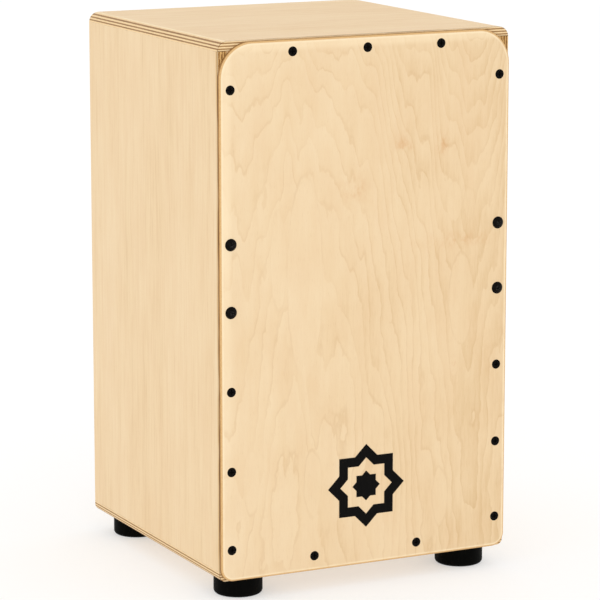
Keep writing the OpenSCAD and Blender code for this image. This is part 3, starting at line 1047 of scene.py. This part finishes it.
def foot_profile(radius):
    """Half the section of a foot: floor ring, rounded rim, side, top, bore and screw pocket."""
    quarter = math.pi / 2
    pocket_h = FOOT_H / 2
    profile = arc(FOOT_POCKET_R + FOOT_SOFT, FOOT_SOFT, FOOT_SOFT, 2 * quarter, 3 * quarter)
    profile += arc(radius - FOOT_RIM_R, FOOT_RIM_R, FOOT_RIM_R, 3 * quarter, 4 * quarter)
    profile += arc(radius - FOOT_SOFT, FOOT_H - FOOT_SOFT, FOOT_SOFT, 0, quarter)
    profile += [(FOOT_BORE_R, FOOT_H), (FOOT_BORE_R, pocket_h), (FOOT_POCKET_R, pocket_h)]
    return profile


def make_feet():
    """The four rubber feet, each on the axis of its CAD node."""
    for side in ("left", "right"):
        for end in ("front", "rear"):
            node = f"foot_{end}_{side}"
            low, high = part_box(node)
            centre = ((low.x + high.x) / 2, (low.y + high.y) / 2)
            foot = lathe(f"rubber_{node}", foot_rubber, foot_profile((high.x - low.x) / 2), centre)
            stand_for(foot, node)


# ---------------------------------------------------------------- snares
WIRE_COUNT = 10
STRAND_R = 0.8 * MM
WIRE_R = 0.2 * MM
WIRE_PITCH = 1.3 * MM
WIRE_TURN_POINTS = 8
BRASS_CORNER_R = 2 * MM
BRASS_FRONT_EASE = 0.2 * MM
BRASS_BACK_EASE = 0.1 * MM


def coil_points(start, end, radius):
    """Points of a helix round the line from start to end."""
    line = end - start
    side = line.cross(Vector((1, 0, 0))).normalized()
    other = line.cross(side).normalized()
    count = round(line.length / WIRE_PITCH * WIRE_TURN_POINTS)
    points = []
    for i in range(count + 1):
        angle = 2 * math.pi * i / WIRE_TURN_POINTS
        outwards = side * math.cos(angle) + other * math.sin(angle)
        points.append(start + line * (i / count) + outwards * radius)
    return points


def tube(mesh, points, radius, sides=5):
    """A closed tube along points."""
    angles = [2 * math.pi * k / sides for k in range(sides)]
    rings = []
    for i, here in enumerate(points):
        along = (points[min(i + 1, len(points) - 1)] - points[max(i - 1, 0)]).normalized()
        side = along.cross(Vector((0, 0, 1))).normalized()
        other = along.cross(side)
        outwards = [side * math.cos(angle) + other * math.sin(angle) for angle in angles]
        rings.append([mesh.verts.new(here + way * radius) for way in outwards])
    for lower, upper in zip(rings, rings[1:]):
        skin(mesh, lower, upper)
    mesh.faces.new(rings[0][::-1])
    mesh.faces.new(rings[-1])


def make_snares():
    """Two sets of coiled wires, each on its brass plate."""
    for side in ("left", "right"):
        low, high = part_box(f"snare_wires_{side}")
        mesh = bmesh.new()
        for i in range(WIRE_COUNT):
            x = low.x + STRAND_R + (high.x - low.x - 2 * STRAND_R) * i / (WIRE_COUNT - 1)
            start = Vector((x, high.y - STRAND_R, low.z + STRAND_R))
            end = Vector((x, low.y + STRAND_R, high.z - STRAND_R))
            tube(mesh, coil_points(start, end, STRAND_R - WIRE_R), WIRE_R)
        wires = finish_mesh(f"coiled_wires_{side}", mesh, wire_steel, sharp=80)
        stand_for(wires, f"snare_wires_{side}")
        low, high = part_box(f"snare_plate_{side}")
        outline = rounded_rect(low.x, high.x, low.z, high.z, BRASS_CORNER_R, BRASS_CORNER_R)
        plate = bar(f"brass_plate_{side}", brass, outline, low.y, high.y, BRASS_FRONT_EASE, BRASS_BACK_EASE)
        stand_for(plate, f"snare_plate_{side}")


# ---------------------------------------------------------------- nodes that keep their CAD shape
PINE_PARTS = ("batten", "corner_block", "snare_block")
# Each group's material, the width of its bevel and its nodes
KEPT = (
    (pine, 0.6 * MM, [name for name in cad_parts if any(part in name for part in PINE_PARTS)]),
    (rail_wood, 0.6 * MM, ["snare_rail"]),
    (zinc, 0.1 * MM, ["rail_screws", "snare_screws", "foot_screws", "foot_washers"]),
    (emblem_ink, 0.05 * MM, ["front_emblem"]),
)


def dress_kept_nodes():
    """Material and a small edge bevel for each CAD node that stays."""
    for material, bevel_w, names in KEPT:
        for name in names:
            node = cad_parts[name]
            node.data.materials.clear()
            node.data.materials.append(material)
            bevel = node.modifiers.new("edge", "BEVEL")
            bevel.width = bevel_w
            bevel.segments = 2
            bevel.limit_method = "ANGLE"
            bevel.angle_limit = math.radians(40)
            bevel.harden_normals = True


# ---------------------------------------------------------------- floor and light
FLOOR_HALF = 6.0
FLOOR_GREY = 0.55
FLOOR_GLOW = 0.47
KEY_PLACE = (-1.1, -2.3, 1.0)
KEY_SIZE = 1.2
KEY_POWER = 4


def make_floor():
    """A pale floor whose glow keeps the shadow soft and the rest nearly white."""
    mesh = bmesh.new()
    corners = [(-1, -1), (1, -1), (1, 1), (-1, 1)]
    mesh.faces.new([mesh.verts.new((a * FLOOR_HALF, b * FLOOR_HALF, 0)) for a, b in corners])
    data = bpy.data.meshes.new("floor")
    mesh.to_mesh(data)
    mesh.free()
    g = Graph("floor_white")
    g.shader.inputs["Base Color"].default_value = (FLOOR_GREY, FLOOR_GREY, FLOOR_GREY, 1)
    g.shader.inputs["Roughness"].default_value = 0.9
    g.shader.inputs["Specular IOR Level"].default_value = 0.0
    g.shader.inputs["Emission Color"].default_value = (1, 1, 1, 1)
    g.shader.inputs["Emission Strength"].default_value = FLOOR_GLOW
    data.materials.append(g.material)
    floor = bpy.data.objects.new("floor", data)
    bpy.context.scene.collection.objects.link(floor)


def area_light(name, location, target, size, power):
    """A soft square lamp that faces a point."""
    data = bpy.data.lights.new(name, "AREA")
    data.shape = "SQUARE"
    data.size = size
    data.energy = power
    lamp = bpy.data.objects.new(name, data)
    lamp.location = location
    lamp.rotation_mode = "QUATERNION"
    lamp.rotation_quaternion = (Vector(target) - Vector(location)).to_track_quat("-Z", "Y")
    bpy.context.scene.collection.objects.link(lamp)


def make_lights():
    """An even white surround with one soft lamp at the left front, and colours shown as they are."""
    world = bpy.data.worlds.new("surround")
    bpy.context.scene.world = world
    world.use_nodes = True
    background = world.node_tree.nodes["Background"]
    background.inputs["Color"].default_value = (1, 1, 1, 1)
    background.inputs["Strength"].default_value = 1.0
    middle = (0, 0, (BASE_Z + TOP_Z) / 2)
    area_light("key", KEY_PLACE, middle, KEY_SIZE, KEY_POWER)
    scene = bpy.context.scene
    scene.view_settings.view_transform = "Standard"
    scene.view_settings.look = "None"


make_panels()
make_plate()
make_plate_screws()
make_feet()
make_snares()
dress_kept_nodes()
make_floor()
make_lights()
